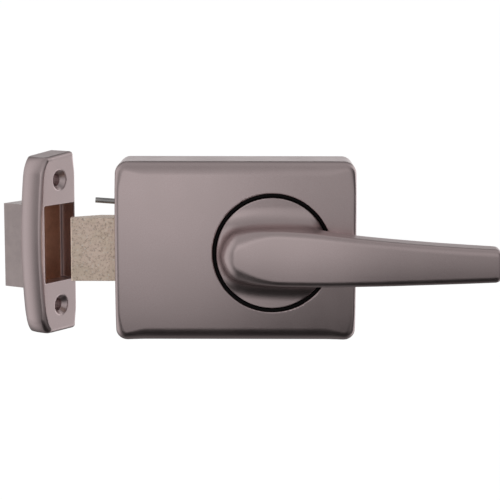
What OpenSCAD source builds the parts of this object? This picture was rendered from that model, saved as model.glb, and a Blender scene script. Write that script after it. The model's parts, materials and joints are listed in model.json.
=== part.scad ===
// Rim night latch with an inside lever, an automatic deadlocking bolt and a box strike.
//
// The face that lies on the door is the plane Y = 0, and the room is on the -Y side.
// The lever turns on the Y axis. +X runs from the bolt towards the lever's tip, and +Z is up.
// The bolt is thrown, the lever is level and the strike stands turned, clear of the bolt.

/* [Case] */
// Length of the case along the bolt's travel
case_w = 92; // [88:1:96]
// Height of the case
case_h = 69.2; // [68:0.1:72]
// Depth of the case, from the door to its crown
case_t = 30; // [29:0.1:32]
// Distance from the bolt end of the case to the lever's axis
backset = 60; // [58:1:62]
// Radius of the front's crown
crown_r = 196; // [150:1:300]
// Radius that blends the front into the top and bottom
blend_r = 5.5; // [4:0.1:6]
// Radius of the outline's corners
corner_r = 4.5; // [3:0.1:5]
// Radius of the front's two upright edges
edge_r = 1.8; // [1:0.1:2.5]
// Thickness of the case's walls
wall = 2.5; // [2:0.1:3]

/* [Lever] */
// Radius of the disc that the lever is cast with
disc_r = 21.3; // [20:0.1:22]
// Reach of the lever's tip from its axis
lever_reach = 83.8; // [70:0.1:90]
// Height of the lever at its root
root_h = 19.5; // [17:0.1:20]
// Height of the lever at its tip
tip_h = 13.4; // [11:0.1:15]
// Distance of the lever's face from the door at its tip
tip_out = 57; // [54:0.1:60]
// Height of the lever's tip above its axis
tip_drop = -1.1; // [-2:0.1:0]
// Turn of the lever that draws the bolt right in
lever_turn = 50; // [40:1:55]

/* [Bolt] */
// Throw of the bolt
bolt_throw = 18; // [16:0.5:18]
// Height of the bolt
bolt_h = 24.7; // [22:0.1:25]
// Thickness of the bolt
bolt_t = 10.1; // [9:0.1:10.1]
// Travel of the deadlocking trigger
trigger_travel = 6; // [5:0.1:6]
// Radius of the trigger's wire
trigger_r = 1.05; // [0.9:0.05:1.1]

/* [Strike] */
// Height of the strike
strike_h = 71.6; // [68:0.1:74]
// Depth of the strike's mouth face
strike_d = 23.2; // [23:0.1:26]
// Width of the strike's casting
strike_w = 11.2; // [9:0.1:12]
// Distance between the strike's two screw holes
strike_holes = 50; // [48:0.5:52]
// Turn of the strike away from its working place
strike_yaw = 32.1; // [20:0.1:33]

/* [Hidden] */
$fn = 96;

satin = [0.60, 0.55, 0.56];
steel = [0.66, 0.66, 0.68];
zinc_plate = [0.74, 0.73, 0.68];
black = [0.05, 0.05, 0.05];
brass = [0.78, 0.64, 0.36];
bare_bolt = [0.72, 0.64, 0.56];
run = 0.05;      // radial clearance of a running fit
cut = 1;         // overlap of a cutting shape past the face that it opens

// Layers of the mechanism, as distances along Y
front_in = -(case_t - 4);
chassis_y = [-6.6, -5.1];
door_plate_y = [-2, 0];
arm_y = [-17.7, -14.2];
tail_y = [-13.4, -10.4];
layer_mid = (tail_y[0] + tail_y[1]) / 2;
bolt_y = [chassis_y[0] - 0.2 - bolt_t, chassis_y[0] - 0.2];
bolt_z = -0.4;
bolt_slit = 0.3; // gap between the bolt and the opening in the case

// Lever, spindle and hub
disc_y = [-29.3, -25.4];
boss_r = 9;
boss_back = -19.4;
spindle_w = 6.9;
hub_back = -10.4;
barrel_r = 7.5;
arm_r = bolt_throw / 2 / sin(lever_turn / 2);
drive_r = 2.5;
dog_back = -8.4;
dog_r = 4.2;
journal_r = 9;

// Bolt tail, pawl and trigger
tail_top = 12;
head_back = -48;
pawl_x = -53.5;
pawl_z = 25;
pawl_drop = 5;
pawl_reach = 29.25;
tooth_w = 3.6;
tooth_rest = 0.5;
notch_x = -25.1;
notch_w = 5.6;
notch_deep = 2.6;
trigger_z = 17.8;
trigger_tip = -68.6;
trigger_tilt = 4;
collar_x = [-50.5, -45.5];
trigger_lug_x = [-33.4, -29.6];
spring_z = -19;
spring_lug_x = [-8, -6];
tail_lug_x = [-44, -41];

posts = [[24.5, 27], [24.5, -27], [-50, -27], [-38, 29.2]];
post_r = 2.5;
door_holes = [for (x = [-46, 18], z = [-24, 24]) [x, z]];
cylinder_hole_z = 15;
side_screw_y = -4.6;
side_screw_z = 22.5;

// The strike's near corner as displayed, and in its working place
strike_at = [-91, -11.9];
nose_r = 10.6;
nose_x = -4.5;
mouth_y = [3.9, 22.6];
mouth_h = 30.6;
box_y = [2.2, 22.4];
box_h = 33.2;
box_z = -0.9;
box_reach = 19.2;
box_seat = 6.5;
box_pin = [-7.9, 12];
sheet = 1;
strike_hole_y = 13.5;

function around(middle, half) = [middle - half, middle + half];

// ---- helpers -------------------------------------------------------------

module cyl_y(r, y, x = 0, z = 0) {
    translate([x, y[0], z]) rotate([-90, 0, 0]) cylinder(r = r, h = y[1] - y[0]);
}

module cone_y(r1, r2, y, x = 0, z = 0) {
    translate([x, y[0], z]) rotate([-90, 0, 0]) cylinder(r1 = r1, r2 = r2, h = y[1] - y[0]);
}

module cyl_x(r, x, y = 0, z = 0) {
    translate([x[0], y, z]) rotate([0, 90, 0]) cylinder(r = r, h = x[1] - x[0]);
}

module cyl_z(r, z, x = 0, y = 0) {
    translate([x, y, z[0]]) cylinder(r = r, h = z[1] - z[0]);
}

module cone_x(r1, r2, x, y = 0, z = 0) {
    translate([x[0], y, z]) rotate([0, 90, 0]) cylinder(r1 = r1, r2 = r2, h = x[1] - x[0]);
}

module block(x, y, z) {
    translate([x[0], y[0], z[0]]) cube([x[1] - x[0], y[1] - y[0], z[1] - z[0]]);
}

// A flat shape drawn in X and Z, given its thickness along Y
module slab(y) {
    translate([0, y[1], 0]) rotate([90, 0, 0]) linear_extrude(y[1] - y[0]) children();
}

// A flat shape drawn in Y and Z, given its length along X
module bar(x) {
    translate([x[0], 0, 0]) rotate([90, 0, 90]) linear_extrude(x[1] - x[0]) children();
}

module tube_y(r_in, r_out, y, x = 0, z = 0) {
    difference() {
        cyl_y(r_out, y, x, z);
        cyl_y(r_in, [y[0] - cut, y[1] + cut], x, z);
    }
}

// A rectangle whose four corners have their own radii: low-low, high-low, high-high, low-high
module round_rect(lo, hi, r) {
    at = [[lo[0] + r[0], lo[1] + r[0]], [hi[0] - r[1], lo[1] + r[1]],
          [hi[0] - r[2], hi[1] - r[2]], [lo[0] + r[3], hi[1] - r[3]]];
    for (i = [0 : 3]) translate(at[i]) circle(r[i]);
    polygon([[lo[0] + r[0], lo[1]], [hi[0] - r[1], lo[1]], [hi[0], lo[1] + r[1]], [hi[0], hi[1] - r[2]],
             [hi[0] - r[2], hi[1]], [lo[0] + r[3], hi[1]], [lo[0], hi[1] - r[3]], [lo[0], lo[1] + r[0]]]);
}

// Wire of radius wire_r wound on radius coil_r about +Z, from z = 0 to z = len
module coil(coil_r, wire_r, len, turns, sides = 6, steps = 16) {
    n = round(turns * steps);
    rise = (len - 2 * wire_r) / n;
    ring = [for (i = [0 : n], k = [0 : sides - 1])
        let (a = 360 * i / steps, b = 360 * k / sides, r = coil_r + wire_r * cos(b))
        [r * cos(a), r * sin(a), wire_r + rise * i + wire_r * sin(b)]];
    side = [for (i = [0 : n - 1], k = [0 : sides - 1])
        let (k2 = (k + 1) % sides)
        [i * sides + k, i * sides + k2, (i + 1) * sides + k2, (i + 1) * sides + k]];
    first = [for (k = [sides - 1 : -1 : 0]) k];
    last = [for (k = [0 : sides - 1]) n * sides + k];
    polyhedron(points = ring, faces = [for (f = concat([first], side, [last])) [for (v = f) v]], convexity = 8);
}

// An external retaining ring for a groove of radius r_in, open at its foot
module circlip(r_in, r_out, y) {
    difference() {
        tube_y(r_in + run, r_out, y);
        block([-3, 3], [y[0] - cut, y[1] + cut], [-r_out - cut, 0]);
    }
}

// ---- case ----------------------------------------------------------------

// Section across a casting: Y and Z, crowned in front and blended into the top and bottom
module crowned_section(half, deep) {
    crown_y = crown_r - deep;
    blend_z = half - blend_r;
    blend_y = crown_y - sqrt(pow(crown_r - blend_r, 2) - pow(blend_z, 2));
    meet_z = blend_z * crown_r / (crown_r - blend_r);
    intersection() {
        translate([crown_y, 0]) circle(crown_r, $fn = 720);
        translate([-deep - cut, -meet_z]) square([deep + cut, 2 * meet_z]);
    }
    for (s = [-1, 1]) translate([blend_y, s * blend_z]) circle(blend_r);
    translate([blend_y, -half]) square([-blend_y, 2 * half]);
}

module case_solid() {
    x = [-backset, case_w - backset];
    intersection() {
        bar(x) crowned_section(case_h / 2, case_t);
        slab([-case_t - cut, 0]) round_rect([x[0], -case_h / 2], [x[1], case_h / 2], corner_r * [1, 1, 1, 1]);
        translate([0, 0, -case_h / 2]) linear_extrude(case_h)
            round_rect([x[0], -case_t], [x[1], 0], [edge_r, edge_r, 0.4, 0.4]);
    }
}

module case_cavity() {
    block([-backset + wall, case_w - backset - wall], [front_in, cut], [wall - case_h / 2, case_h / 2 - wall]);
}

module case_inside() {
    for (p = posts) difference() {
        cyl_y(post_r, [front_in - cut, chassis_y[0]], p[0], p[1]);
        cyl_y(1.5 + 0.02, [-14, 0], p[0], p[1]);
    }
    // Boss that carries the pawl's pin
    difference() {
        cyl_y(3.4, [front_in - cut, tail_y[0] - 0.3], pawl_x, pawl_z);
        cyl_y(1.5 + 0.02, [-20, 0], pawl_x, pawl_z);
    }
    // Lug that backs the trigger's spring and takes the end of its wire
    difference() {
        block(trigger_lug_x, [front_in - cut, -9.4], [15, 20.2]);
        cyl_x(trigger_r + 0.15, [-40, -20], layer_mid, trigger_z);
    }
}

module case_cover() {
    color(satin) {
        difference() {
            case_solid();
            case_cavity();
            cyl_y(22.75, [-case_t - cut, front_in + cut]);
            // Opening for the bolt
            block([-backset - cut, -backset + wall + cut], [bolt_y[0] - bolt_slit, bolt_y[1] + bolt_slit],
                  [bolt_z - bolt_h / 2 - bolt_slit, bolt_z + bolt_h / 2 + bolt_slit]);
            // Slot for the trigger's wire, tall enough for its set end
            bar([-backset - cut, -backset + wall + cut]) translate([layer_mid, trigger_z + 0.2])
                round_rect([-1.35, -1.9], [1.35, 1.9], 1.3 * [1, 1, 1, 1]);
            for (s = [-1, 1]) {
                cyl_x(2.05, [-backset - cut, -backset + wall + cut], side_screw_y, s * side_screw_z);
                cone_x(3.6 + cut, 1.6, [-backset - cut, -backset + 2], side_screw_y, s * side_screw_z);
            }
        }
        case_inside();
    }
}

module chassis_plate() {
    color(zinc_plate) difference() {
        union() {
            slab(chassis_y) round_rect([-55, -31.4], [26.8, 31.4], 3 * [1, 1, 1, 1]);
            // Tab that backs the bolt's spring and holds its rod
            block(spring_lug_x, [layer_mid - 3.7, chassis_y[1] - 0.5], around(spring_z, 4));
        }
        cyl_x(1.4 + 0.02, [-20, 0], layer_mid, spring_z);
        cyl_y(journal_r + run, [-10, 0]);
        for (p = posts) cyl_y(1.7, [-10, 0], p[0], p[1]);
        cyl_y(1.5 + 0.02, [-10, 0], pawl_x, pawl_z);
        // Lightening windows
        slab([-10, 0]) round_rect([-42, -10], [-18, 10], 3 * [1, 1, 1, 1]);
        slab([-10, 0]) round_rect([14, -14], [21, 14], 3 * [1, 1, 1, 1]);
    }
}

module chassis_screws() {
    color(steel) for (p = posts) difference() {
        union() {
            cyl_y(2.7, [chassis_y[1], chassis_y[1] + 1.8], p[0], p[1]);
            cyl_y(1.5, [-13, chassis_y[1]], p[0], p[1]);
        }
        for (a = [0, 90]) translate([p[0], 0, p[1]]) rotate([0, a, 0])
            block([-1.7, 1.7], [chassis_y[1] + 0.9, 0], [-0.35, 0.35]);
    }
}

module door_plate() {
    x = [-backset + wall + 0.3, case_w - backset - wall - 0.3];
    half = case_h / 2 - wall - 0.3;
    color(zinc_plate) difference() {
        union() {
            slab(door_plate_y) round_rect([x[0], -half], [x[1], half], 2 * [1, 1, 1, 1]);
            for (s = [-1, 1]) {
                block([x[0], x[0] + 2], [-7.4, door_plate_y[0] + 0.5], around(s * side_screw_z, 4));
                block([x[1] - 1.8, x[1]], [-7.4, door_plate_y[0] + 0.5], around(s * side_screw_z, 4));
            }
        }
        cyl_y(journal_r + 0.8, [-5, cut]);
        for (h = door_holes) {
            cyl_y(2.4, [-5, cut], h[0], h[1]);
            cone_y(2.4 + 2.2 + 0.5, 2.4, [door_plate_y[0] - 0.5, door_plate_y[0] + 1.6], h[0], h[1]);
        }
        for (s = [-1, 1]) {
            cyl_y(2.75, [-5, cut], 0, s * cylinder_hole_z);
            cyl_x(1.98, [x[0] - cut, x[0] + 3], side_screw_y, s * side_screw_z);
        }
    }
}

module case_screws() {
    color(steel) for (s = [-1, 1]) difference() {
        union() {
            cone_x(3.35, 1.9, [-backset + 0.2, -backset + 1.65], side_screw_y, s * side_screw_z);
            cyl_x(1.9, [-backset + 1, -backset + 4.6], side_screw_y, s * side_screw_z);
        }
        for (a = [0, 90]) translate([0, side_screw_y, s * side_screw_z]) rotate([a, 0, 0])
            block([-backset, -backset + 1.3], [-1.9, 1.9], [-0.4, 0.4]);
    }
}

// ---- lever and hub -------------------------------------------------------

// Black bearing that carries the disc, with the rim that shows round it
module bearing_ring() {
    color(black) rotate([-90, 0, 0]) rotate_extrude() polygon([
        [boss_r + run, -25.2], [21.5, -25.2], [21.5, -28.4], [22.7, -28.4], [22.7, -25.9],
        [25.6, -25.9], [25.6, -23.8], [boss_r + run, -23.8]]);
}

// Height outline of the lever: X and Z
module lever_outline() {
    tip_r = 2.2;
    low = tip_drop - tip_h / 2;
    high = tip_drop + tip_h / 2;
    polygon([[-17.5, -7.2], [-10, -8.9], [0, -root_h / 2], [12, -0.3 - root_h / 2], [33, -9.9],
             [lever_reach - tip_r, low], [lever_reach - tip_r, high], [33, 8.3],
             [12, root_h / 2 - 0.3], [0, root_h / 2], [-10, 8.9], [-17.5, 7.2]]);
    for (z = [low + tip_r, high - tip_r]) translate([lever_reach - tip_r, z]) circle(tip_r);
    translate([lever_reach - tip_r - cut, low + tip_r]) square([tip_r + cut, tip_h - 2 * tip_r]);
    for (s = [-1, 1]) translate([-16.2, s * 4.3]) circle(3.2);
    translate([-19.4, -4.3]) square([4, 8.6]);
}

// Side profile of the lever: X and Y
module lever_profile() {
    polygon([[-19.4, disc_y[0] + 2], [-19.4, -37], [-18.2, -41], [-14.5, -43.6], [0, -45], [33, -50.8],
             [lever_reach - 3.5, -tip_out], [lever_reach, -tip_out + 2.5], [lever_reach, -tip_out + 8.5],
             [lever_reach - 2, -tip_out + 10.4], [33, -39.8], [24, -37.8], [18, -34.6], [14, disc_y[0] + 2]]);
}

module lever_handle() {
    color(satin) difference() {
        union() {
            rotate([-90, 0, 0]) rotate_extrude() polygon([
                [0, disc_y[0]], [disc_r - 0.6, disc_y[0]], [disc_r, disc_y[0] + 0.6], [disc_r, disc_y[1]],
                [boss_r, disc_y[1]], [boss_r, -23.7], [8.1, -23.7], [8.1, -22.7], [boss_r, -22.7],
                [boss_r, boss_back], [0, boss_back]]);
            intersection() {
                slab([-tip_out - cut, disc_y[0] + 0.5]) lever_outline();
                translate([0, 0, -20]) linear_extrude(40) lever_profile();
            }
        }
        block(3.5 * [-1, 1], [-24.1, 0], 3.5 * [-1, 1]);
        cyl_x(1.25 + 0.02, [-boss_r - cut, boss_r + cut], -21.1);
    }
}

module lever_spindle() {
    half = spindle_w / 2;
    color(steel) difference() {
        block(half * [-1, 1], [-24, hub_back - 0.2], half * [-1, 1]);
        cyl_y(2.05, [-18.6, 0]);
        cyl_x(1.25 + 0.02, [-10, 10], -21.1);
    }
}

module spindle_pin() {
    color(steel) cyl_x(1.25, [-8.8, 8.8], -21.1);
}

module lever_circlip() {
    color(steel) circlip(8.1, 11.5, [-23.65, -22.75]);
}

module hub_arm_shape() {
    lean = -lever_turn / 2;
    circle(10);
    rotate(-lean) {
        polygon([[-9, 3], [9, 3], [4.6, arm_r], [-4.6, arm_r]]);
        translate([0, arm_r]) circle(4.6);
    }
}

// A pair of opposite sectors on the ring that the two dog couplings share
module dogs(y, middle, spread) {
    for (turn = [0, 180]) intersection() {
        tube_y(dog_r, barrel_r, y);
        slab(y) rotate(middle + turn) polygon([
            [0, 0], 12 * [cos(-spread / 2), sin(-spread / 2)], [12, 0], 12 * [cos(spread / 2), sin(spread / 2)]]);
    }
}

module hub_cam() {
    color(steel) difference() {
        union() {
            cyl_y(8.9, [-19.3, arm_y[1]]);
            slab(arm_y) hub_arm_shape();
            cyl_y(barrel_r, [arm_y[1], hub_back]);
            dogs([hub_back - 0.5, dog_back], 90, 40);
        }
        block(3.5 * [-1, 1], [-30, hub_back + 0.05], 3.5 * [-1, 1]);
        cyl_y(drive_r + 0.02, [-30, 0], -arm_r * sin(lever_turn / 2), arm_r * cos(lever_turn / 2));
    }
}

module drive_pin() {
    color(steel) cyl_y(drive_r, [-18.2, -9.8], -arm_r * sin(lever_turn / 2), arm_r * cos(lever_turn / 2));
}

module spindle_screw() {
    color(steel) difference() {
        union() {
            cyl_y(3.7, [hub_back, dog_back - 0.2]);
            cyl_y(2, [-17.8, hub_back]);
        }
        block([-4, 4], [dog_back - 1, 0], [-0.5, 0.5]);
    }
}

module tailbar_hub() {
    color(brass) difference() {
        union() {
            rotate([-90, 0, 0]) rotate_extrude() polygon([
                [0, -8.2], [10.5, -8.2], [10.5, -6.7], [journal_r, -6.7], [journal_r, -4.95], [8.1, -4.95],
                [8.1, -3.85], [journal_r, -3.85], [journal_r, -0.4], [0, -0.4]]);
            dogs([-10.2, -8], -25, 30);
        }
        block([-5, 5], [-7.4, cut], [-1.4, 1.4]);
    }
}

module tailbar_circlip() {
    color(steel) circlip(8.1, 11.4, [-4.85, -3.95]);
}

module lever_return_spring() {
    color(steel) translate([0, -22.35, 0]) rotate([-90, 0, 0]) coil(10.6, 0.45, 2.5, 1.6, 8, 32);
}

// ---- bolt ----------------------------------------------------------------

module bolt_guide() {
    color(black) difference() {
        block([-backset + wall + 0.05, -53.6], [-19.4, chassis_y[0] - 0.02], [-15.4, 14.6]);
        block([-60, -50], [bolt_y[0] - 0.12, 0], [bolt_z - bolt_h / 2 - 0.12, bolt_z + bolt_h / 2 + 0.12]);
    }
}

// Bolt with a bevel on the side that meets the strike first
module bolt_head() {
    tip = -backset - bolt_throw;
    nose = 3.2;
    bevel = 11;
    color(bare_bolt) difference() {
        translate([0, 0, bolt_z - bolt_h / 2]) linear_extrude(bolt_h) polygon([
            [tip, bolt_y[0] + 0.5], [tip + 0.5, bolt_y[0]], [head_back, bolt_y[0]], [head_back, bolt_y[1]],
            [tip + bevel, bolt_y[1]], [tip, bolt_y[0] + nose]]);
        block([-60, head_back + cut], [tail_y[0] - 0.02, tail_y[1] + 0.02], [-20, 20]);
        for (z = [-6, 6]) cyl_y(1.5 + 0.02, [-20, 0], -53.5, z);
    }
}

module bolt_tail() {
    slot_x = -arm_r * sin(lever_turn / 2);
    slot_half = drive_r + 0.35;
    slot_z = [16.4, 24.2];
    opening = barrel_r + 0.8;
    color(steel) difference() {
        union() {
            slab(tail_y) polygon([[-59.9, -12], [10, -12], [10, tail_top], [-59.9, tail_top]]);
            slab(tail_y) round_rect([slot_x - 6, 9], [slot_x + 6, 26], [0.5, 0.5, 2, 2]);
            block(tail_lug_x, around(layer_mid, 3.2), [-22.8, -10.5]);
        }
        // Way past the hub's barrel through the whole throw
        slab([-20, 0]) {
            translate([-bolt_throw, 0]) circle(opening);
            translate([-bolt_throw, -opening]) square([40, 2 * opening]);
        }
        // Slot for the drive pin
        slab([-20, 0]) round_rect([slot_x - slot_half, slot_z[0]], [slot_x + slot_half, slot_z[1]], 1.5 * [1, 1, 1, 1]);
        // Notches for the pawl, thrown and drawn in
        for (shift = [0, bolt_throw]) {
            block(around(notch_x - shift, notch_w / 2), [-20, 0], [tail_top - notch_deep, 20]);
        }
        for (z = [-6, 6]) cyl_y(1.5 + 0.02, [-20, 0], -53.5, z);
        cyl_x(1.7, [-50, -35], layer_mid, spring_z);
    }
}

module bolt_rivets() {
    color(steel) for (z = [-6, 6]) cyl_y(1.5, [bolt_y[0] + 0.1, bolt_y[1] - 0.1], -53.5, z);
}

module bolt_spring_rod() {
    color(steel) cyl_x(1.4, [-51, spring_lug_x[1] + 0.8], layer_mid, spring_z);
}

module bolt_spring() {
    x = [tail_lug_x[1] + 0.1, spring_lug_x[0] - 0.1];
    color(steel) translate([x[0], layer_mid, spring_z]) rotate([0, 90, 0]) coil(2.6, 0.4, x[1] - x[0], 12);
}

// ---- deadlock ------------------------------------------------------------

module trigger_wire() {
    bend_r = 12;
    bend_x = -backset + 0.6;
    set_x = bend_x - bend_r * sin(trigger_tilt);
    set_z = trigger_z + bend_r * (1 - cos(trigger_tilt));
    lap = 0.3;
    color(steel) {
        cyl_x(trigger_r, [bend_x - lap, -38], layer_mid, trigger_z);
        // The bend swells by a hair, as bent wire does
        translate([bend_x, layer_mid, trigger_z + bend_r]) rotate([90, 0, 0]) rotate([0, 0, 270 - trigger_tilt])
            rotate_extrude(angle = trigger_tilt) translate([bend_r, 0]) circle(trigger_r + 0.04);
        translate([set_x, layer_mid, set_z]) rotate([0, trigger_tilt, 0])
            cyl_x(trigger_r, [(trigger_tip - set_x) / cos(trigger_tilt), lap]);
    }
}

module trigger_collar() {
    color(brass) difference() {
        cyl_x(2.2, collar_x, layer_mid, trigger_z);
        cyl_x(trigger_r + 0.02, [collar_x[0] - cut, collar_x[1] + cut], layer_mid, trigger_z);
    }
}

module trigger_spring() {
    x = [collar_x[1] + 0.1, trigger_lug_x[0] - 0.1];
    color(steel) translate([x[0], layer_mid, trigger_z]) rotate([0, 90, 0]) coil(1.65, 0.22, x[1] - x[0], 6.5);
}

module deadlock_pawl() {
    arm_z = [22.7, 26.2];
    tooth_x = around(pawl_x + pawl_reach, tooth_w / 2);
    color(brass) difference() {
        union() {
            slab(tail_y) {
                translate([pawl_x, pawl_z]) circle(3);
                translate([pawl_x, arm_z[0]]) square([tooth_x[1] - pawl_x, arm_z[1] - arm_z[0]]);
                translate([tooth_x[0], tail_top + tooth_rest]) square([tooth_w, 12]);
                // Bump that the collar holds up
                translate([-49, 20.6]) square([2.6, 3]);
            }
        }
        cyl_y(1.5 + run, [-20, 0], pawl_x, pawl_z);
    }
}

module pawl_pin() {
    color(steel) cyl_y(1.5, [-19.8, chassis_y[1]], pawl_x, pawl_z);
}

module pawl_spring() {
    color(steel) translate([pawl_x, tail_y[1] + 0.2, pawl_z]) rotate([-90, 0, 0]) coil(2.15, 0.35, 2.6, 2.4);
}

// ---- strike --------------------------------------------------------------

// Places a shape from the strike's own axes: X out of its mouth, Y from its near edge to its far edge
module strike_place() {
    translate([strike_at[0], strike_at[1], 0]) rotate([0, 0, -strike_yaw]) children();
}

// Section of the strike: X and Y, with a rounded near side
module nose_section() {
    intersection() {
        round_rect([-strike_w, -2], [0, strike_d], [0.6, 0.6, 0.6, 0.6]);
        union() {
            translate([nose_x, nose_r]) circle(nose_r);
            translate([-strike_w - cut, nose_r]) square([strike_w + 2 * cut, strike_d]);
        }
    }
}

module strike_body() {
    half = strike_h / 2;
    color(satin) strike_place() difference() {
        intersection() {
            translate([0, 0, -half]) linear_extrude(strike_h) nose_section();
            bar([-strike_w, 0]) translate([strike_d, 0]) crowned_section(half, strike_d);
            bar([-strike_w, 0]) round_rect([-2, -half], [strike_d, half], [1.5, 1.5, 1.5, 1.5]);
        }
        block([-strike_w - cut, cut], mouth_y, mouth_h / 2 * [-1, 1]);
        block([-strike_w - cut, -box_seat], [box_y[0] - 0.03, box_y[1] + 0.03], around(box_z, box_h / 2 + 0.05));
        for (s = [-1, 1]) {
            cyl_x(2.3, [-strike_w - cut, cut], strike_hole_y, s * strike_holes / 2);
            cone_x(2.3 - 0.1, 4.6 + 0.4, [-2.4, 0.4], strike_hole_y, s * strike_holes / 2);
            cyl_z(0.82, around(box_z + s * 17.7, 2.3), box_pin[0], box_pin[1]);
        }
    }
}

module strike_box() {
    color(zinc_plate) strike_place() difference() {
        block([-box_reach, -box_seat - 0.02], box_y, around(box_z, box_h / 2));
        block([-box_reach + sheet, cut], box_y + sheet * [1, -1], around(box_z, box_h / 2 - sheet));
        cyl_z(0.82, [-20, 20], box_pin[0], box_pin[1]);
    }
}

module strike_rivets() {
    color(steel) strike_place() for (s = [-1, 1]) cyl_z(0.8, around(box_z + s * 17.75, 2.15), box_pin[0], box_pin[1]);
}

case_cover();
chassis_plate();
chassis_screws();
door_plate();
case_screws();
bearing_ring();
bolt_guide();
bolt_spring_rod();
bolt_spring();
pawl_pin();
pawl_spring();
trigger_spring();
lever_return_spring();
lever_handle();
lever_spindle();
spindle_pin();
lever_circlip();
hub_cam();
drive_pin();
spindle_screw();
tailbar_hub();
tailbar_circlip();
bolt_head();
bolt_tail();
bolt_rivets();
trigger_wire();
trigger_collar();
deadlock_pawl();
strike_body();
strike_box();
strike_rivets();
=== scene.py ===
import json
import math

import bmesh
import bpy
import numpy as np
from mathutils import Matrix, Vector


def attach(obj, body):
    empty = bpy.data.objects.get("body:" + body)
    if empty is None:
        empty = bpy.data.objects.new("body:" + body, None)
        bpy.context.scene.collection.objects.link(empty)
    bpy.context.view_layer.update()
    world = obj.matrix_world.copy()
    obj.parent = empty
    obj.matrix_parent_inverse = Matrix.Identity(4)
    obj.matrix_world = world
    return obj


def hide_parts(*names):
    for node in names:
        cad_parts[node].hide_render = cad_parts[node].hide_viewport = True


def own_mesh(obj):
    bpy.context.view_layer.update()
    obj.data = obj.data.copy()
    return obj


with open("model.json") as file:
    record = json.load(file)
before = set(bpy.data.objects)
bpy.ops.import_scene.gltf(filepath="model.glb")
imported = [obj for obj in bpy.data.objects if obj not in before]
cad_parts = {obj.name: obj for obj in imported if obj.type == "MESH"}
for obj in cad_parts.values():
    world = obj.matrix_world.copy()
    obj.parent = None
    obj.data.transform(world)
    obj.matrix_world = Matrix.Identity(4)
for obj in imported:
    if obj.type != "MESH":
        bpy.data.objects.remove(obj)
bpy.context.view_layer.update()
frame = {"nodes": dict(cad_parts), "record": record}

MM = 0.001
NODE_BODY = {n: b for b, ns in frame["record"]["behaviour"]["bodies"].items() for n in ns}
NODE_SLOT = {s["node"]: s["material_slot"] for s in frame["record"]["subparts"]}

# ---- sizes of the lock, in millimetres, as the CAD has them ------------------------------------------
# X runs along the door towards the lever's tip, Y into the door, Z up. The lever turns about Y.

# The case: its two ends, half its height, its depth, and the long curve of its front from top to bottom
CASE_X = (-60.0, 32.0)
CASE_HALF = 34.6
CASE_DEEP = 30.0
CROWN_R = 196.0
# Its rounding: corners, front to the upright sides, front to top and bottom, and how far in those two blend
CORNER_R = 4.5
EDGE_R = 1.8
BLEND_R = 5.5
BLEND_REACH = 12.0
# Its wall, the inside of its front, and the rounding there
WALL = 2.5
FRONT_IN = -26.0
CAVITY_R = 3.0
# The middle of the layer that bolt, trigger and pawl move in
LAYER_MID = -11.9
# Screw posts and the pawl's boss inside the case: X, Z, radius, back end; and their blind holes
POSTS = ((24.5, 27, 2.5, -6.6), (24.5, -27, 2.5, -6.6), (-50, -27, 2.5, -6.6), (-38, 29.2, 2.5, -6.6),
         (-53.5, 25, 3.4, -13.7))
POST_FRONT = -26.4
POST_HOLE_R, POST_HOLE_FRONT = 1.52, -14.0
# The lug behind the trigger spring: X, Y, Z, and the hole that the trigger wire slides in
LUG = ((-33.4, -29.6), (-27, -9.4), (15, 20.2))
LUG_HOLE_R = 1.2
TRIGGER_Z = 17.8
# Openings in the bolt's end of the case: bolt, trigger and two countersunk screws
BOLT_OPENING = ((-70, -50), (-17.2, -6.5), (-13.05, 12.25))
TRIGGER_SLOT_Z, TRIGGER_SLOT_LONG, TRIGGER_SLOT_R = 18.0, 0.55, 1.35
END_SCREW_Y, END_SCREW_Z, END_SCREW_R, END_CONE_R = -4.6, 22.5, 2.05, 1.6

# The lever's disc, its hole in the case, and the cove between disc and arm
DISC_HOLE_R = 22.75
DISC_R = 21.3
DISC_FRONT, DISC_BACK = -29.3, -25.4
COVE_R, COVE_FRONT = 7.0, -32.5
# Behind the disc: the boss, the groove of its retaining ring and the pocket of the square spindle
BOSS_R, BOSS_Y = 9.0, (-27.0, -19.4)
GROOVE_R, GROOVE_Y = 8.1, (-23.7, -22.7)
SPINDLE_HALF, SPINDLE_FRONT = 3.5, -24.1
# The arm: its two ends, and the rounding of its root, tip, rear and front
LEVER_ROOT, LEVER_TIP = -19.4, 83.8
ROOT_R, TIP_R, UNDER_R = 6.4, 2.4, 2.0
FACE_R, FACE_ROOT_R, FACE_CROWN_R = 2.4, 6.2, 55.0
# How much its sides draw in towards the front, about a depth halfway from here to the front
DRAFT, DRAFT_MID = 0.06, -33.0

# The strike: its place and turn, its thickness, depth and half height, and the nose of its near side
STRIKE_AT = (-91.0, -11.9)
STRIKE_YAW = math.radians(32.1)
STRIKE_W, STRIKE_D, STRIKE_HALF = 11.2, 23.2, 35.8
NOSE_R, NOSE_X = 10.6, -4.5
TOP_FALL = 2.0
# Its mouth, the seat of its box, the two screw holes and the cross pins that hold the box
THROUGH_X = (-30, 30)
MOUTH_Y, MOUTH_HALF = (3.9, 22.6), 15.3
BOX_Z = -0.9
SEAT_X, SEAT_Y, SEAT_HALF = -6.5, (2.17, 22.43), 16.65
HOLE_Y, HOLE_Z, HOLE_R, CONE_R, CONE_SLOPE = 13.5, 25.0, 2.3, 4.1, 0.99
PIN_X, PIN_Y, PIN_R, PIN_FROM, PIN_TO = -7.9, 12.0, 0.82, 15.4, 20.0
# The room inside the box, in the strike's own axes
BOX_ROOM_X, BOX_ROOM_Y, BOX_ROOM_Z = (-18.5, -5.5), (2.9, 21.7), (-15.9, 15.9)


# ---- surfaces from distance functions ----------------------------------------------------------------

def union(a, b, r):
    """Union whose inside corner is filled to radius r."""
    return np.maximum(r, np.minimum(a, b)) - np.hypot(np.maximum(r - a, 0), np.maximum(r - b, 0))


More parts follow.
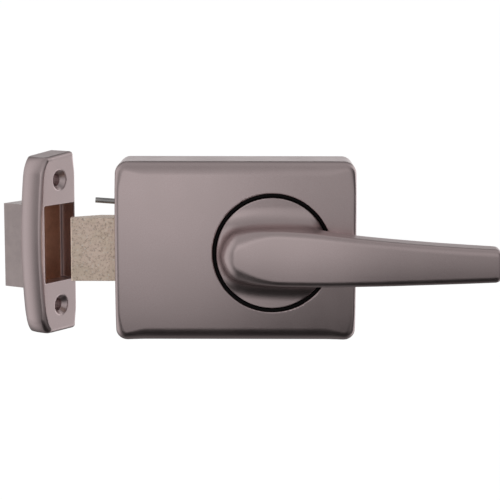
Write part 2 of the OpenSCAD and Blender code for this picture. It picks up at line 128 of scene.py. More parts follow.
def meet(a, b, r):
    """Intersection whose outside corner is rounded to radius r."""
    return np.minimum(-r, np.maximum(a, b)) + np.hypot(np.maximum(r + a, 0), np.maximum(r + b, 0))


def less(a, b, r):
    """a with b cut out of it, and the edge of the cut rounded to radius r."""
    return meet(a, -b, r)


def between(v, low, high):
    return np.maximum(low - v, v - high)


def rounded_box(x, y, z, xs, ys, zs, r):
    return meet(meet(between(x, *xs), between(y, *ys), r), between(z, *zs), r)


def ease(v):
    """0 to 1 over the same range of v, level at both ends."""
    v = np.clip(v, 0, 1)
    return v * v * (3 - 2 * v)


def curve(points):
    """Smooth function through points, and its slope."""
    px, py = np.array(points, float).T
    slope = np.gradient(py, px)

    def at(q):
        q = np.clip(q, px[0], px[-1])
        i = np.clip(np.searchsorted(px, q) - 1, 0, len(px) - 2)
        step = px[i + 1] - px[i]
        t = (q - px[i]) / step
        value = ((2 * t - 3) * t * t + 1) * py[i] + (t - 1) ** 2 * t * step * slope[i]
        value += (3 - 2 * t) * t * t * py[i + 1] + (t - 1) * t * t * step * slope[i + 1]
        rate = 6 * t * (t - 1) * (py[i] - py[i + 1]) / step
        rate += (3 * t - 1) * (t - 1) * slope[i] + (3 * t - 2) * t * slope[i + 1]
        return value, rate
    return at


def gradient(sdf, p, eps=0.02):
    """Slope of sdf at the points p."""
    g = np.empty_like(p)
    for a in range(3):
        d = np.zeros(3)
        d[a] = eps
        g[:, a] = (sdf(p + d) - sdf(p - d)) / (2 * eps)
    return g


def grid_crossings(value, inside, count):
    """One point in each grid cell that the surface passes, in cells, and each cell's number."""
    corners = [(i, j, k) for i in (0, 1) for j in (0, 1) for k in (0, 1)]
    total = sum(inside[i:count[0] - 1 + i, j:count[1] - 1 + j, k:count[2] - 1 + k].astype(np.int8)
                for i, j, k in corners)
    cells = np.argwhere((total > 0) & (total < len(corners)))
    number = np.full(count - 1, -1)
    number[tuple(cells.T)] = np.arange(len(cells))
    point = np.zeros((len(cells), 3))
    hits = np.zeros(len(cells))
    for c in corners:
        for a in range(3):
            if c[a]:
                continue
            step = np.eye(3, dtype=int)[a]
            va = value[tuple((cells + c).T)]
            vb = value[tuple((cells + c + step).T)]
            crossed = (va < 0) != (vb < 0)
            t = np.where(crossed, va / np.where(crossed, va - vb, 1), 0)
            point += np.where(crossed[:, None], np.array(c) + t[:, None] * step, 0)
            hits += crossed
    return cells + point / hits[:, None], number


def grid_quads(inside, number, count):
    """A quad for each grid edge that the surface crosses, facing outwards."""
    quads = []
    for a in range(3):
        u, v = (a + 1) % 3, (a + 2) % 3
        here = [slice(None)] * 3
        there = [slice(None)] * 3
        here[a], there[a] = slice(0, -1), slice(1, None)
        cross = np.argwhere(inside[tuple(here)] != inside[tuple(there)])
        for side in (u, v):
            cross = cross[(cross[:, side] > 0) & (cross[:, side] < count[side] - 1)]
        eu, ev = np.eye(3, dtype=int)[u], np.eye(3, dtype=int)[v]
        ring = np.stack([number[tuple((cross - o).T)] for o in (eu + ev, ev, 0 * eu, eu)], 1)
        flip = ~inside[tuple(cross.T)]
        ring[flip] = ring[flip][:, ::-1]
        quads.append(ring)
    return np.vstack(quads)


def surface_net(sdf, low, high, cell, rounds=3):
    """Vertices, quads and normals of the closed surface sdf = 0, evened out and drawn exactly onto it."""
    low = np.array(low, float)
    count = np.ceil((np.array(high) - low) / cell).astype(int) + 1
    axes = [low[a] + cell * np.arange(count[a]) for a in range(3)]
    value = sdf(np.stack(np.meshgrid(*axes, indexing="ij"), -1))
    inside = value < 0
    point, number = grid_crossings(value, inside, count)
    point = low + cell * point
    quads = grid_quads(inside, number, count)
    ends = np.vstack([quads[:, [i, (i + 1) % 4]] for i in range(4)])
    near = np.bincount(ends[:, 0], minlength=len(point)) + np.bincount(ends[:, 1], minlength=len(point))
    for turn in range(rounds + 1):
        if turn:
            mean = np.zeros_like(point)
            for a in range(3):
                mean[:, a] = np.bincount(ends[:, 0], point[ends[:, 1], a], len(point))
                mean[:, a] += np.bincount(ends[:, 1], point[ends[:, 0], a], len(point))
            point = 0.4 * point + 0.6 * mean / near[:, None]
        for _ in range(3):
            g = gradient(sdf, point)
            move = (sdf(point) / np.maximum((g * g).sum(1), 0.05))[:, None] * g
            far = np.linalg.norm(move, axis=1, keepdims=True)
            point = point - move * np.minimum(1, 0.5 * cell / np.maximum(far, 1e-9))
    normal = gradient(sdf, point)
    return point, quads, normal / np.maximum(np.linalg.norm(normal, axis=1, keepdims=True), 1e-9)


# ---- making pieces -----------------------------------------------------------------------------------

def link(name, data):
    piece = bpy.data.objects.new(name, data)
    bpy.context.scene.collection.objects.link(piece)
    return piece


def add(name, mesh, node):
    """A piece that stands for a CAD node, on its body, in its slot and with its material."""
    piece = link(name, mesh)
    mesh.materials.clear()
    mesh.materials.append(FINISH[NODE_SLOT[node]])
    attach(piece, NODE_BODY[node])
    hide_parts(node)
    return piece


def sculpt(name, node, sdf, low, high, cell, place=None):
    """A piece with the surface sdf = 0, looked for between the corners low and high."""
    point, quads, normal = surface_net(sdf, low, high, cell)
    mesh = bpy.data.meshes.new(name)
    mesh.from_pydata((point * MM).tolist(), [], quads.tolist())
    mesh.shade_smooth()
    mesh.normals_split_custom_set_from_vertices(normal.tolist())
    if place is not None:
        mesh.transform(place)
    mesh.update()
    return add(name, mesh, node)


def refine(node, width, sharp=math.radians(32)):
    """A copy of a CAD node with its flat faces made whole and its edges rounded."""
    mesh = frame["nodes"][node].data.copy()
    mesh.name = node + "_fine"
    if "custom_normal" in mesh.attributes:
        mesh.attributes.remove(mesh.attributes["custom_normal"])
    bm = bmesh.new()
    bm.from_mesh(mesh)
    bmesh.ops.remove_doubles(bm, verts=bm.verts, dist=2e-6)
    bmesh.ops.dissolve_limit(bm, angle_limit=math.radians(0.3), verts=bm.verts, edges=bm.edges)
    bm.to_mesh(mesh)
    bm.free()
    mesh.shade_smooth()
    mesh.set_sharp_from_angle(angle=sharp)
    piece = add(node + "_fine", mesh, node)
    bevel = piece.modifiers.new("Rounded edges", "BEVEL")
    bevel.width = width * MM
    bevel.segments = 3
    bevel.limit_method = "ANGLE"
    bevel.angle_limit = sharp
    bevel.loop_slide = False
    bevel.harden_normals = True
    return piece


def coil(name, node, start, axis, coil_r, wire_r, length, turns, sides=14, steps=40):
    """A wound spring from its start along +X or +Y, in round wire with flat ends."""
    n = int(turns * steps)
    points, faces = [], []
    for i in range(n + 1):
        a = 2 * math.pi * turns * i / n
        along = wire_r + (length - 2 * wire_r) * i / n
        for k in range(sides):
            b = 2 * math.pi * k / sides
            r = coil_r + wire_r * math.cos(b)
            c = (r * math.cos(a), r * math.sin(a), along + wire_r * math.sin(b))
            c = (c[2], c[1], -c[0]) if axis == "x" else (c[0], c[2], -c[1])
            points.append([(start[m] + c[m]) * MM for m in range(3)])
    for i in range(n):
        for k in range(sides):
            j = (k + 1) % sides
            faces.append((i * sides + k, (i + 1) * sides + k, (i + 1) * sides + j, i * sides + j))
    faces.append(tuple(range(sides)))
    faces.append(tuple(n * sides + k for k in reversed(range(sides))))
    mesh = bpy.data.meshes.new(name)
    mesh.from_pydata(points, [], faces)
    bm = bmesh.new()
    bm.from_mesh(mesh)
    bmesh.ops.recalc_face_normals(bm, faces=bm.faces)
    bm.to_mesh(mesh)
    bm.free()
    mesh.shade_smooth()
    mesh.set_sharp_from_angle(angle=math.radians(50))
    return add(name, mesh, node)


# ---- materials ---------------------------------------------------------------------------------------

class Shader:
    """Short calls for building a node material in the object's own coordinates."""

    def __init__(self, name, metallic, base, roughness):
        self.material = bpy.data.materials.new(name)
        self.material.use_nodes = True
        self.tree = self.material.node_tree
        self.bsdf = self.tree.nodes["Principled BSDF"]
        self.bsdf.inputs["Metallic"].default_value = metallic
        self.bsdf.inputs["Base Color"].default_value = (*base, 1)
        self.bsdf.inputs["Roughness"].default_value = roughness
        self.place = self.node("ShaderNodeTexCoord").outputs["Object"]

    def node(self, kind, **settings):
        n = self.tree.nodes.new(kind)
        for key, value in settings.items():
            setattr(n, key, value)
        return n

    def link(self, a, b):
        self.tree.links.new(a, b)

    def math(self, operation, a, b):
        m = self.node("ShaderNodeMath", operation=operation)
        for socket, v in zip(m.inputs, (a, b)):
            if isinstance(v, (int, float)):
                socket.default_value = v
            else:
                self.link(v, socket)
        return m.outputs[0]

    def map(self, value, low, high, to_low, to_high):
        m = self.node("ShaderNodeMapRange", interpolation_type="SMOOTHSTEP")
        for key, v in zip(("From Min", "From Max", "To Min", "To Max"), (low, high, to_low, to_high)):
            m.inputs[key].default_value = v
        self.link(value, m.inputs["Value"])
        return m.outputs["Result"]

    def spread(self, noise, low=0.0, high=1.0):
        """A noise stretched to run from low to high."""
        return self.map(noise, 0.3, 0.7, low, high)

    def mix(self, fac, a, b):
        m = self.node("ShaderNodeMix", data_type="RGBA")
        self.link(fac, m.inputs[0])
        for socket, v in ((m.inputs[6], a), (m.inputs[7], b)):
            if isinstance(v, tuple):
                socket.default_value = (*v, 1)
            else:
                self.link(v, socket)
        return m.outputs[2]

    def noise(self, size_mm, detail, rough, stretch=None):
        """Noise with grains of this size, drawn out along the axes where stretch is small."""
        n = self.node("ShaderNodeTexNoise")
        n.inputs["Scale"].default_value = 1 / (size_mm * MM)
        n.inputs["Detail"].default_value = detail
        n.inputs["Roughness"].default_value = rough
        where = self.place
        if stretch:
            m = self.node("ShaderNodeMapping")
            m.inputs["Scale"].default_value = stretch
            self.link(where, m.inputs["Vector"])
            where = m.outputs["Vector"]
        self.link(where, n.inputs["Vector"])
        return n.outputs["Fac"]

    def distance(self, origin, direction):
        """Distance in millimetres from origin along direction."""
        away = self.node("ShaderNodeVectorMath", operation="SUBTRACT")
        away.inputs[1].default_value = Vector(origin) * MM
        self.link(self.place, away.inputs[0])
        dot = self.node("ShaderNodeVectorMath", operation="DOT_PRODUCT")
        dot.inputs[1].default_value = Vector(direction) / MM
        self.link(away.outputs[0], dot.inputs[0])
        return dot.outputs["Value"]

    def within(self, value, low, high):
        """1 where value is between low and high, else 0."""
        above = self.math("GREATER_THAN", value, low)
        return self.math("MULTIPLY", above, self.math("LESS_THAN", value, high))

    def rubbed(self, color, radius_mm, amount, bright):
        """color, brighter where an outside edge of about this radius is rubbed by use."""
        bevel = self.node("ShaderNodeBevel", samples=6)
        bevel.inputs["Radius"].default_value = radius_mm * MM
        true = self.node("ShaderNodeNewGeometry")
        dot = self.node("ShaderNodeVectorMath", operation="DOT_PRODUCT")
        self.link(bevel.outputs[0], dot.inputs[0])
        self.link(true.outputs["Normal"], dot.inputs[1])
        edge = self.map(dot.outputs["Value"], 0.995, 0.90, 0.0, 1.0)
        return self.mix(self.math("MULTIPLY", edge, amount), color, bright)

    def bump(self, height, depth_mm, strength, before=None):
        b = self.node("ShaderNodeBump")
        b.inputs["Strength"].default_value = strength
        b.inputs["Distance"].default_value = depth_mm * MM
        self.link(height, b.inputs["Height"])
        if before is not None:
            self.link(before, b.inputs["Normal"])
        return b.outputs["Normal"]

    def finish(self, color, roughness, normal):
        for socket, v in (("Base Color", color), ("Roughness", roughness), ("Normal", normal)):
            self.link(v, self.bsdf.inputs[socket])
        return self.material


def satin_casting():
    """Satin chrome with a warm pearl cast: fine peened grain, faint clouds, edges rubbed brighter."""
    s = Shader("satin_casting", 1.0, (0.60, 0.485, 0.485), 0.36)
    clouds = s.noise(14, 3, 0.55)
    grain = s.noise(0.35, 3, 0.6)
    color = s.mix(s.spread(clouds), (0.585, 0.47, 0.472), (0.615, 0.50, 0.498))
    color = s.mix(s.map(grain, 0.35, 0.65, 0, 1), color, (0.64, 0.53, 0.53))
    color = s.rubbed(color, 0.5, 0.35, (0.74, 0.64, 0.64))
    rough = s.math("ADD", s.spread(clouds, 0.33, 0.37), s.spread(grain, -0.03, 0.04))
    normal = s.bump(s.noise(0.22, 2, 0.6), 0.006, 0.6, s.bump(clouds, 0.05, 0.25))
    return s.finish(color, rough, normal)


def bare_bolt():
    """Sintered stainless steel: beige, with fine dark pores and bright specks."""
    s = Shader("bare_bolt", 1.0, (0.92, 0.75, 0.63), 0.42)
    pores = s.noise(0.75, 4, 0.7)
    specks = s.noise(1.0, 3, 0.65)
    clouds = s.noise(6, 2, 0.5)
    color = s.mix(s.spread(clouds), (0.93, 0.76, 0.62), (1.0, 0.80, 0.68))
    color = s.mix(s.map(pores, 0.50, 0.66, 0, 0.75), color, (0.60, 0.48, 0.40))
    color = s.mix(s.map(specks, 0.56, 0.70, 0, 0.7), color, (1.0, 0.95, 0.88))
    color = s.rubbed(color, 0.4, 0.5, (0.90, 0.83, 0.75))
    rough = s.map(pores, 0.35, 0.65, 0.36, 0.56)
    return s.finish(color, rough, s.bump(pores, 0.03, 0.5))


def plated_sheet():
    """Plated pressed sheet: a rolling grain and a soft mottle, and browned inside the strike's box."""
    s = Shader("plated_sheet", 1.0, (0.60, 0.50, 0.49), 0.33)
    rolling = s.noise(0.5, 3, 0.6, (1.0, 1.0, 0.06))
    mottle = s.noise(5, 3, 0.6)
    color = s.mix(s.spread(mottle), (0.50, 0.42, 0.415), (0.58, 0.49, 0.48))
    color = s.rubbed(color, 0.3, 0.5, (0.68, 0.60, 0.58))
    origin = (*STRIKE_AT, 0)
    along = s.distance(origin, (math.cos(STRIKE_YAW), -math.sin(STRIKE_YAW), 0))
    across = s.distance(origin, (math.sin(STRIKE_YAW), math.cos(STRIKE_YAW), 0))
    high = s.distance((0, 0, BOX_Z), (0, 0, 1))
    inside = s.within(along, *BOX_ROOM_X)
    for value, room in ((across, BOX_ROOM_Y), (high, BOX_ROOM_Z)):
        inside = s.math("MULTIPLY", inside, s.within(value, *room))
    brown = s.mix(s.spread(mottle), (0.68, 0.51, 0.43), (0.84, 0.63, 0.53))
    color = s.mix(inside, color, brown)
    rough = s.math("ADD", s.spread(rolling, 0.30, 0.40), s.spread(mottle, -0.03, 0.05))
    return s.finish(color, rough, s.bump(rolling, 0.006, 0.5))


def machined_steel():
    """Bright steel with fine cutter lines."""
    s = Shader("machined_steel", 1.0, (0.40, 0.385, 0.38), 0.28)
    lines = s.noise(0.25, 3, 0.6, (1.0, 0.08, 1.0))
    mottle = s.noise(3, 3, 0.6)
    color = s.mix(s.spread(mottle), (0.33, 0.32, 0.315), (0.44, 0.425, 0.415))
    color = s.rubbed(color, 0.2, 0.5, (0.60, 0.59, 0.58))
    rough = s.math("ADD", s.spread(lines, 0.22, 0.36), s.spread(mottle, -0.03, 0.06))
    return s.finish(color, rough, s.bump(lines, 0.004, 0.5))


def brass():
    """Turned brass with cutter lines and spots of tarnish."""
    s = Shader("brass", 1.0, (0.72, 0.54, 0.25), 0.28)
    lines = s.noise(0.3, 3, 0.6, (1.0, 0.1, 1.0))
    tarnish = s.noise(4, 3, 0.6)
    color = s.mix(s.map(tarnish, 0.35, 0.7, 0, 1), (0.76, 0.58, 0.28), (0.55, 0.38, 0.17))
    color = s.rubbed(color, 0.25, 0.6, (0.88, 0.74, 0.42))
    rough = s.math("ADD", s.spread(lines, 0.22, 0.36), s.map(tarnish, 0.35, 0.7, -0.02, 0.10))
    return s.finish(color, rough, s.bump(lines, 0.005, 0.5))


def black_plastic():
    """Moulded nylon: near black, finely spark-eroded, with slightly greyed edges."""
    s = Shader("black_plastic", 0.0, (0.004, 0.003, 0.003), 0.5)
    s.bsdf.inputs["Specular IOR Level"].default_value = 0.12
    grain = s.noise(0.18, 2, 0.6)
    clouds = s.noise(6, 2, 0.5)
    color = s.mix(s.spread(clouds), (0.0035, 0.003, 0.003), (0.006, 0.005, 0.005))
    color = s.rubbed(color, 0.2, 0.4, (0.02, 0.018, 0.017))
    rough = s.spread(grain, 0.42, 0.56)
    return s.finish(color, rough, s.bump(grain, 0.012, 0.6))


# One finish for each of the CAD's material slots, by the slot's name
FINISH = {"satin_casting": satin_casting(), "bare_bolt": bare_bolt(), "plated_sheet": plated_sheet(),
          "machined_steel": machined_steel(), "brass": brass(), "black_plastic": black_plastic()}


# ---- the case ----------------------------------------------------------------------------------------

def case_shell(p):
    """The case cover, a hollow shell with a crowned front."""
    x, y, z = p[..., 0], p[..., 1], p[..., 2]
    over_x = np.abs(x - sum(CASE_X) / 2) - (CASE_X[1] - CASE_X[0]) / 2
    over_z = np.abs(z) - CASE_HALF
    outline = meet(over_x, over_z, CORNER_R)
    crown = np.hypot(y + CASE_DEEP - CROWN_R, z) - CROWN_R
    # The front rounds widely into the top and bottom, and tightly into the two upright sides
    lean_x = np.maximum(over_x + BLEND_REACH, 1e-6)
    lean_z = np.maximum(over_z + BLEND_REACH, 1e-6)
    share = lean_z ** 2 / (lean_x ** 2 + lean_z ** 2)
    shell = meet(outline, crown, EDGE_R + (BLEND_R - EDGE_R) * share)
    shell = meet(shell, y, 0.4)
    cavity = meet(np.maximum(over_x + WALL, over_z + WALL), FRONT_IN - y, CAVITY_R)
    shell = less(shell, cavity, 0.3)
    for px, pz, radius, back in POSTS:
        r = np.hypot(x - px, z - pz)
        hole = np.maximum(r - POST_HOLE_R, POST_HOLE_FRONT - y)
        shell = np.minimum(shell, less(np.maximum(r - radius, between(y, POST_FRONT, back)), hole, 0.1))
    lug = np.maximum(rounded_box(x, y, z, *LUG, 0.3), LUG_HOLE_R - np.hypot(y - LAYER_MID, z - TRIGGER_Z))
    shell = np.minimum(shell, lug)
    disc_hole = np.maximum(np.hypot(x, z) - DISC_HOLE_R, y - FRONT_IN - 2)
    shell = less(shell, disc_hole, 0.35)
    # The bolt, the trigger and two countersunk screws go through the end wall
    wall = x - CASE_X[0] - WALL - 1
    shell = less(shell, np.maximum(rounded_box(x, y, z, *BOLT_OPENING, 0.5), wall), 0.4)
    beyond = np.maximum(np.abs(z - TRIGGER_SLOT_Z) - TRIGGER_SLOT_LONG, 0)
    slot = np.hypot(y - LAYER_MID, beyond) - TRIGGER_SLOT_R
    shell = less(shell, np.maximum(slot, wall), 0.3)
    for side in (-1, 1):
        r = np.hypot(y - END_SCREW_Y, z - side * END_SCREW_Z)
        cone = (r - END_CONE_R + (x - CASE_X[0] - 2)) * math.sqrt(0.5)
        shell = less(shell, np.maximum(np.minimum(r - END_SCREW_R, cone), wall), 0.25)
    return shell


# ---- the lever ---------------------------------------------------------------------------------------

# Along the arm: half its height, how far it hangs below its axis, its front and its rear face
LEVER_HALF = curve([(LEVER_ROOT, 6.8), (-17.5, 7.7), (-10, 9.8), (0, 10.6), (12, 10.5), (33, 9.3),
                    (58, 7.85), (LEVER_TIP, 6.6)])
LEVER_SAG = curve([(LEVER_ROOT, 0), (-5, -0.15), (12, -0.35), (33, -0.85), (58, -1.05), (LEVER_TIP, -0.9)])
LEVER_FRONT = curve([(LEVER_ROOT, -43.2), (-10, -43.9), (0, -45.0), (15, -47.5), (33, -50.6), (56, -53.9),
                     (72, -55.9), (LEVER_TIP, -57.0)])
LEVER_BACK = curve([(10, -24.5), (14, -27.6), (18, -33.8), (24, -37.8), (33, -39.8), (56, -43.0),
                    (LEVER_TIP, -46.8)])


def lever_form(p):
    """The lever's arm and disc in one casting."""
    x, y, z = p[..., 0], p[..., 1], p[..., 2]
    half, half_rate = LEVER_HALF(x)
    front, front_rate = LEVER_FRONT(x)
    back, back_rate = LEVER_BACK(x)
    rise = z - LEVER_SAG(x)[0]
    # The sides draw in a little towards the front, and the face is crowned
    side = (np.abs(rise) - half - DRAFT * (y - (front + DRAFT_MID) / 2)) / np.sqrt(1 + half_rate ** 2)
    face = (front + rise * rise / (2 * FACE_CROWN_R) - y) / np.sqrt(1 + front_rate ** 2)
    under = (y - back) / np.sqrt(1 + back_rate ** 2)
    outline = meet(meet(side, LEVER_ROOT - x, ROOT_R), x - LEVER_TIP, TIP_R)
    arm = meet(outline, face, FACE_R + (FACE_ROOT_R - FACE_R) * ease((2 - x) / 20))
    arm = meet(arm, under, UNDER_R)
    r = np.hypot(x, z)
    disc = meet(meet(r - DISC_R, DISC_FRONT - y, 0.25), y - DISC_BACK, 0.3)
    # The cove between arm and disc stops at the disc's edge, clear of the bearing ring
    form = union(arm, disc, COVE_R)
    form = less(form, np.maximum(DISC_R - r, COVE_FRONT - y), 0.4)
    groove = np.maximum(GROOVE_R - r, between(y, *GROOVE_Y))
    boss = np.maximum(np.maximum(r - BOSS_R, between(y, *BOSS_Y)), -groove)
    form = np.minimum(form, boss)
    pocket = np.maximum(np.maximum(np.abs(x), np.abs(z)) - SPINDLE_HALF, SPINDLE_FRONT - y)
    return less(form, pocket, 0.2)


# ---- the strike --------------------------------------------------------------------------------------

def strike_form(p):
    """In the strike's own axes: X out of its mouth, Y from its near edge to its far edge."""
    x, y, z = p[..., 0], p[..., 1], p[..., 2]
    # The top end falls off a little towards the near side
    fall = TOP_FALL * np.clip((22 - y) / 20, 0, 1)
    ends = np.abs(z) - STRIKE_HALF + np.where(z > 0, fall, 0)
    # The near side is a rounded nose that follows the same crown as the case
    deep = y - CROWN_R + np.sqrt(CROWN_R ** 2 - z ** 2)
    nose = np.hypot(x - NOSE_X, np.minimum(deep - NOSE_R, 0)) - NOSE_R
    # Edges are rounder near that side and near the ends
    nearness = np.clip((9 - y) / 6, 0, 1)
    endness = ease((np.abs(z) - 26) / 9)
    form = meet(nose, ends, 1.2 + 5.2 * nearness)
    form = meet(form, y - STRIKE_D, 0.6 + 0.8 * endness)
    form = meet(form, -STRIKE_W - x, 0.5 + (0.6 + 1.8 * endness) * nearness)
    form = meet(form, x, 0.5 + 0.6 * nearness + 1.3 * endness)
    mouth = rounded_box(x, y, z, THROUGH_X, MOUTH_Y, (-MOUTH_HALF, MOUTH_HALF), 0.6)
    form = less(form, mouth, 0.35)
    seat = rounded_box(x, y, z, (THROUGH_X[0], SEAT_X), SEAT_Y, (BOX_Z - SEAT_HALF, BOX_Z + SEAT_HALF), 0.3)
    form = less(form, seat, 0.2)
    for side in (-1, 1):
        r = np.hypot(y - HOLE_Y, z - side * HOLE_Z)
        cone = (r - CONE_R - CONE_SLOPE * x) * math.sqrt(0.5)
        form = less(form, np.minimum(r - HOLE_R, cone), 0.2)
        pin = np.hypot(x - PIN_X, y - PIN_Y) - PIN_R
        form = np.maximum(form, -np.maximum(pin, between((z - BOX_Z) * side, PIN_FROM, PIN_TO)))
    return form


# ---- build -------------------------------------------------------------------------------------------

sculpt("case_shell", "case_cover", case_shell, (-61, -31, -35.6), (33, 1, 35.6), 0.5)
sculpt("lever_form", "lever_handle", lever_form, (-22.5, -58, -22.5), (85, -18.5, 22.5), 0.45)
strike_place = Matrix.Translation(Vector((*STRIKE_AT, 0)) * MM) @ Matrix.Rotation(-STRIKE_YAW, 4, "Z")
sculpt("strike_form", "strike_body", strike_form, (-12.2, -1, -36.8), (1, 24.2, 36.8), 0.4, strike_place)

# Width of the rounding on the edges of each piece that keeps its CAD shape
EDGES = {
    "strike_box": 0.35, "bolt_head": 0.25, "bearing_ring": 0.3, "door_plate": 0.3,
    "chassis_plate": 0.3, "chassis_screws": 0.15, "case_screws": 0.12, "bolt_guide": 0.3,
    "bolt_spring_rod": 0.2, "pawl_pin": 0.15, "lever_spindle": 0.25, "spindle_pin": 0.15,
    "lever_circlip": 0.15, "hub_cam": 0.3, "drive_pin": 0.3, "spindle_screw": 0.15,
    "tailbar_hub": 0.25, "tailbar_circlip": 0.15, "bolt_tail": 0.25, "bolt_rivets": 0.15,
    "trigger_collar": 0.2, "deadlock_pawl": 0.25, "trigger_wire": 0.25, "strike_rivets": 0.12}
for node, width in EDGES.items():
    refine(node, width)

BOLT_SPRING, TRIGGER_SPRING = 32.8, 11.9
bolt_spring = coil("bolt_spring_wound", "bolt_spring", (-40.9, LAYER_MID, -19), "x",
                   coil_r=2.6, wire_r=0.4, length=BOLT_SPRING, turns=12)
trigger_spring = coil("trigger_spring_wound", "trigger_spring", (-45.4, LAYER_MID, TRIGGER_Z), "x",
                      coil_r=1.65, wire_r=0.22, length=TRIGGER_SPRING, turns=6.5)
coil("pawl_spring_wound", "pawl_spring", (-53.5, -10.2, 25), "y",
     coil_r=2.15, wire_r=0.35, length=2.6, turns=2.4)
coil("lever_return_spring_wound", "lever_return_spring", (0, -22.35, 0), "y",
     coil_r=10.6, wire_r=0.45, length=2.5, turns=1.6)
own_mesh(bolt_spring)
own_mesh(trigger_spring)

# ---- floor, light and camera -------------------------------------------------------------------------

FLOOR_Z = -0.42
FLOOR_BASE, FLOOR_GLOW = 0.05, 0.985
# A round sweep in metres, radius and height: flat under the lock, then curving up far away
SWEEP = [(3.0, 0.0), (3.6, 0.06), (4.1, 0.28), (4.5, 0.75), (4.75, 1.5), (4.85, 3.0), (4.9, 6.0)]
SWEEP_SIDES = 96


def pale_floor():
    """Pale and a little luminous, so that it stays even all the way to the background."""
    material = bpy.data.materials.new("pale_floor")
    material.use_nodes = True
    shader = material.node_tree.nodes["Principled BSDF"]
    shader.inputs["Base Color"].default_value = (FLOOR_BASE, FLOOR_BASE, FLOOR_BASE, 1)
    shader.inputs["Roughness"].default_value = 0.9
    shader.inputs["Emission Color"].default_value = (1, 1, 1, 1)
    shader.inputs["Emission Strength"].default_value = FLOOR_GLOW
    return material


def make_floor():
    sweep = bmesh.new()
    angles = [2 * math.pi * i / SWEEP_SIDES for i in range(SWEEP_SIDES)]
    rings = [[sweep.verts.new((r * math.cos(a), r * math.sin(a), FLOOR_Z + h)) for a in angles]
             for r, h in SWEEP]
    sweep.faces.new(rings[0])
    for low, high in zip(rings, rings[1:]):
        for i in range(SWEEP_SIDES):
            sweep.faces.new((low[i - 1], low[i], high[i], high[i - 1])).smooth = True
    mesh = bpy.data.meshes.new("floor")
    sweep.to_mesh(mesh)
    sweep.free()
    mesh.materials.append(pale_floor())
    floor = link("floor", mesh)
    floor.visible_glossy = False
    floor.visible_diffuse = False
    floor.visible_shadow = False


# Brightness of the studio by the angle round the X axis, in degrees from the front horizon, up and over
OVERHEAD = [(-180, 1.25), (-165, 0.20), (-150, 0.08), (-120, 0.19), (-90, 0.01), (-60, 0.01),
            (-35, 0.01), (-18, 0.16), (-6, 0.32), (6, 0.43), (20, 0.41), (45, 0.50), (80, 0.35),
            (120, 0.47), (150, 0.01), (165, 0.75), (180, 1.25)]
# Brightness to the two sides by the angle round the Z axis, in degrees from the front towards +X
AROUND = [(-150, 0.05), (-110, 0.75), (-75, 0.62), (-45, 0.23), (-25, 0.01), (25, 0.35), (45, 0.35),
          (75, 0.01), (100, 0.01), (115, 1.18), (150, 1.35)]
# How far to the side, from 0 to 1, the first gives way to the second
SIDEWAYS = (0.30, 0.90)


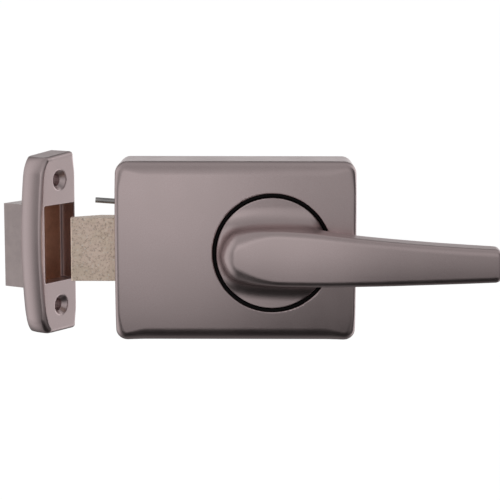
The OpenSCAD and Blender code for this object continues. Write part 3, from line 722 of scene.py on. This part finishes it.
def studio_world():
    """Soft light from all round, with a brightness for each direction."""
    world = bpy.data.worlds.new("studio")
    bpy.context.scene.world = world
    world.use_nodes = True
    tree = world.node_tree
    ground = tree.nodes["Background"]
    ground.inputs["Color"].default_value = (1, 1, 1, 1)

    def node(kind, **settings):
        n = tree.nodes.new(kind)
        for key, value in settings.items():
            setattr(n, key, value)
        return n

    def calc(operation, *values):
        m = node("ShaderNodeMath", operation=operation)
        for socket, v in zip(m.inputs, values):
            if isinstance(v, (int, float)):
                socket.default_value = v
            else:
                tree.links.new(v, socket)
        return m.outputs[0]

    def ramp(stops, a, b):
        """The brightness that the stops give at the angle whose tangent is a / b."""
        r = node("ShaderNodeValToRGB")
        r.color_ramp.interpolation = "LINEAR"
        elements = r.color_ramp.elements
        elements.remove(elements[1])
        for i, (degrees, level) in enumerate(stops):
            at = (degrees + 180) / 360
            stop = elements[0] if i == 0 else elements.new(at)
            stop.position = at
            stop.color = (level, level, level, 1)
        turn = calc("ADD", calc("DIVIDE", calc("ARCTAN2", a, b), 2 * math.pi), 0.5)
        tree.links.new(turn, r.inputs[0])
        return r.outputs[0]

    xyz = node("ShaderNodeSeparateXYZ")
    tree.links.new(node("ShaderNodeTexCoord").outputs["Generated"], xyz.inputs[0])
    x, y, z = xyz.outputs
    front = calc("MULTIPLY", y, -1.0)
    aside = node("ShaderNodeMapRange", interpolation_type="SMOOTHSTEP")
    for key, v in zip(("From Min", "From Max", "To Min", "To Max"), (*SIDEWAYS, 0, 1)):
        aside.inputs[key].default_value = v
    tree.links.new(calc("ABSOLUTE", x), aside.inputs["Value"])
    level = node("ShaderNodeMix", data_type="FLOAT")
    tree.links.new(aside.outputs[0], level.inputs[0])
    tree.links.new(ramp(OVERHEAD, z, front), level.inputs[2])
    tree.links.new(ramp(AROUND, x, front), level.inputs[3])
    tree.links.new(level.outputs[0], ground.inputs["Strength"])


# A tall narrow light beside the camera, which draws the soft upright sheen on the case
SOFTBOX_SIZE = (100, 260)
SOFTBOX_AT, SOFTBOX_AIM = (-60, -180, 0), (-50, -30, 0)
SOFTBOX_POWER = 0.0259


def make_softbox():
    softbox = link("softbox", bpy.data.lights.new("softbox", "AREA"))
    softbox.data.shape = "RECTANGLE"
    softbox.data.size, softbox.data.size_y = (side * MM for side in SOFTBOX_SIZE)
    softbox.data.energy = SOFTBOX_POWER
    softbox.location = Vector(SOFTBOX_AT) * MM
    aim = Vector(SOFTBOX_AIM) * MM - softbox.location
    softbox.rotation_euler = aim.to_track_quat("-Z", "Y").to_euler()
    softbox.visible_camera = False


CAMERA_AIM = (-8.64, -30.0, 1.42)
CAMERA_AWAY = 632.0
ELEVATION = math.radians(8.2)
ROLL = math.radians(-0.1)
SENSOR, LENS = 36, 119.8
CLIP_END = 200


def make_camera():
    camera = link("camera", bpy.data.cameras.new("camera"))
    away = Vector((0, -math.cos(ELEVATION), math.sin(ELEVATION)))
    camera.location = (Vector(CAMERA_AIM) + CAMERA_AWAY * away) * MM
    camera.rotation_euler = (math.radians(90) - ELEVATION, ROLL, 0)
    camera.data.sensor_width = SENSOR
    camera.data.lens = LENS
    camera.data.clip_end = CLIP_END
    bpy.context.scene.camera = camera


make_floor()
studio_world()
make_softbox()
make_camera()
bpy.context.scene.view_settings.view_transform = "Standard"
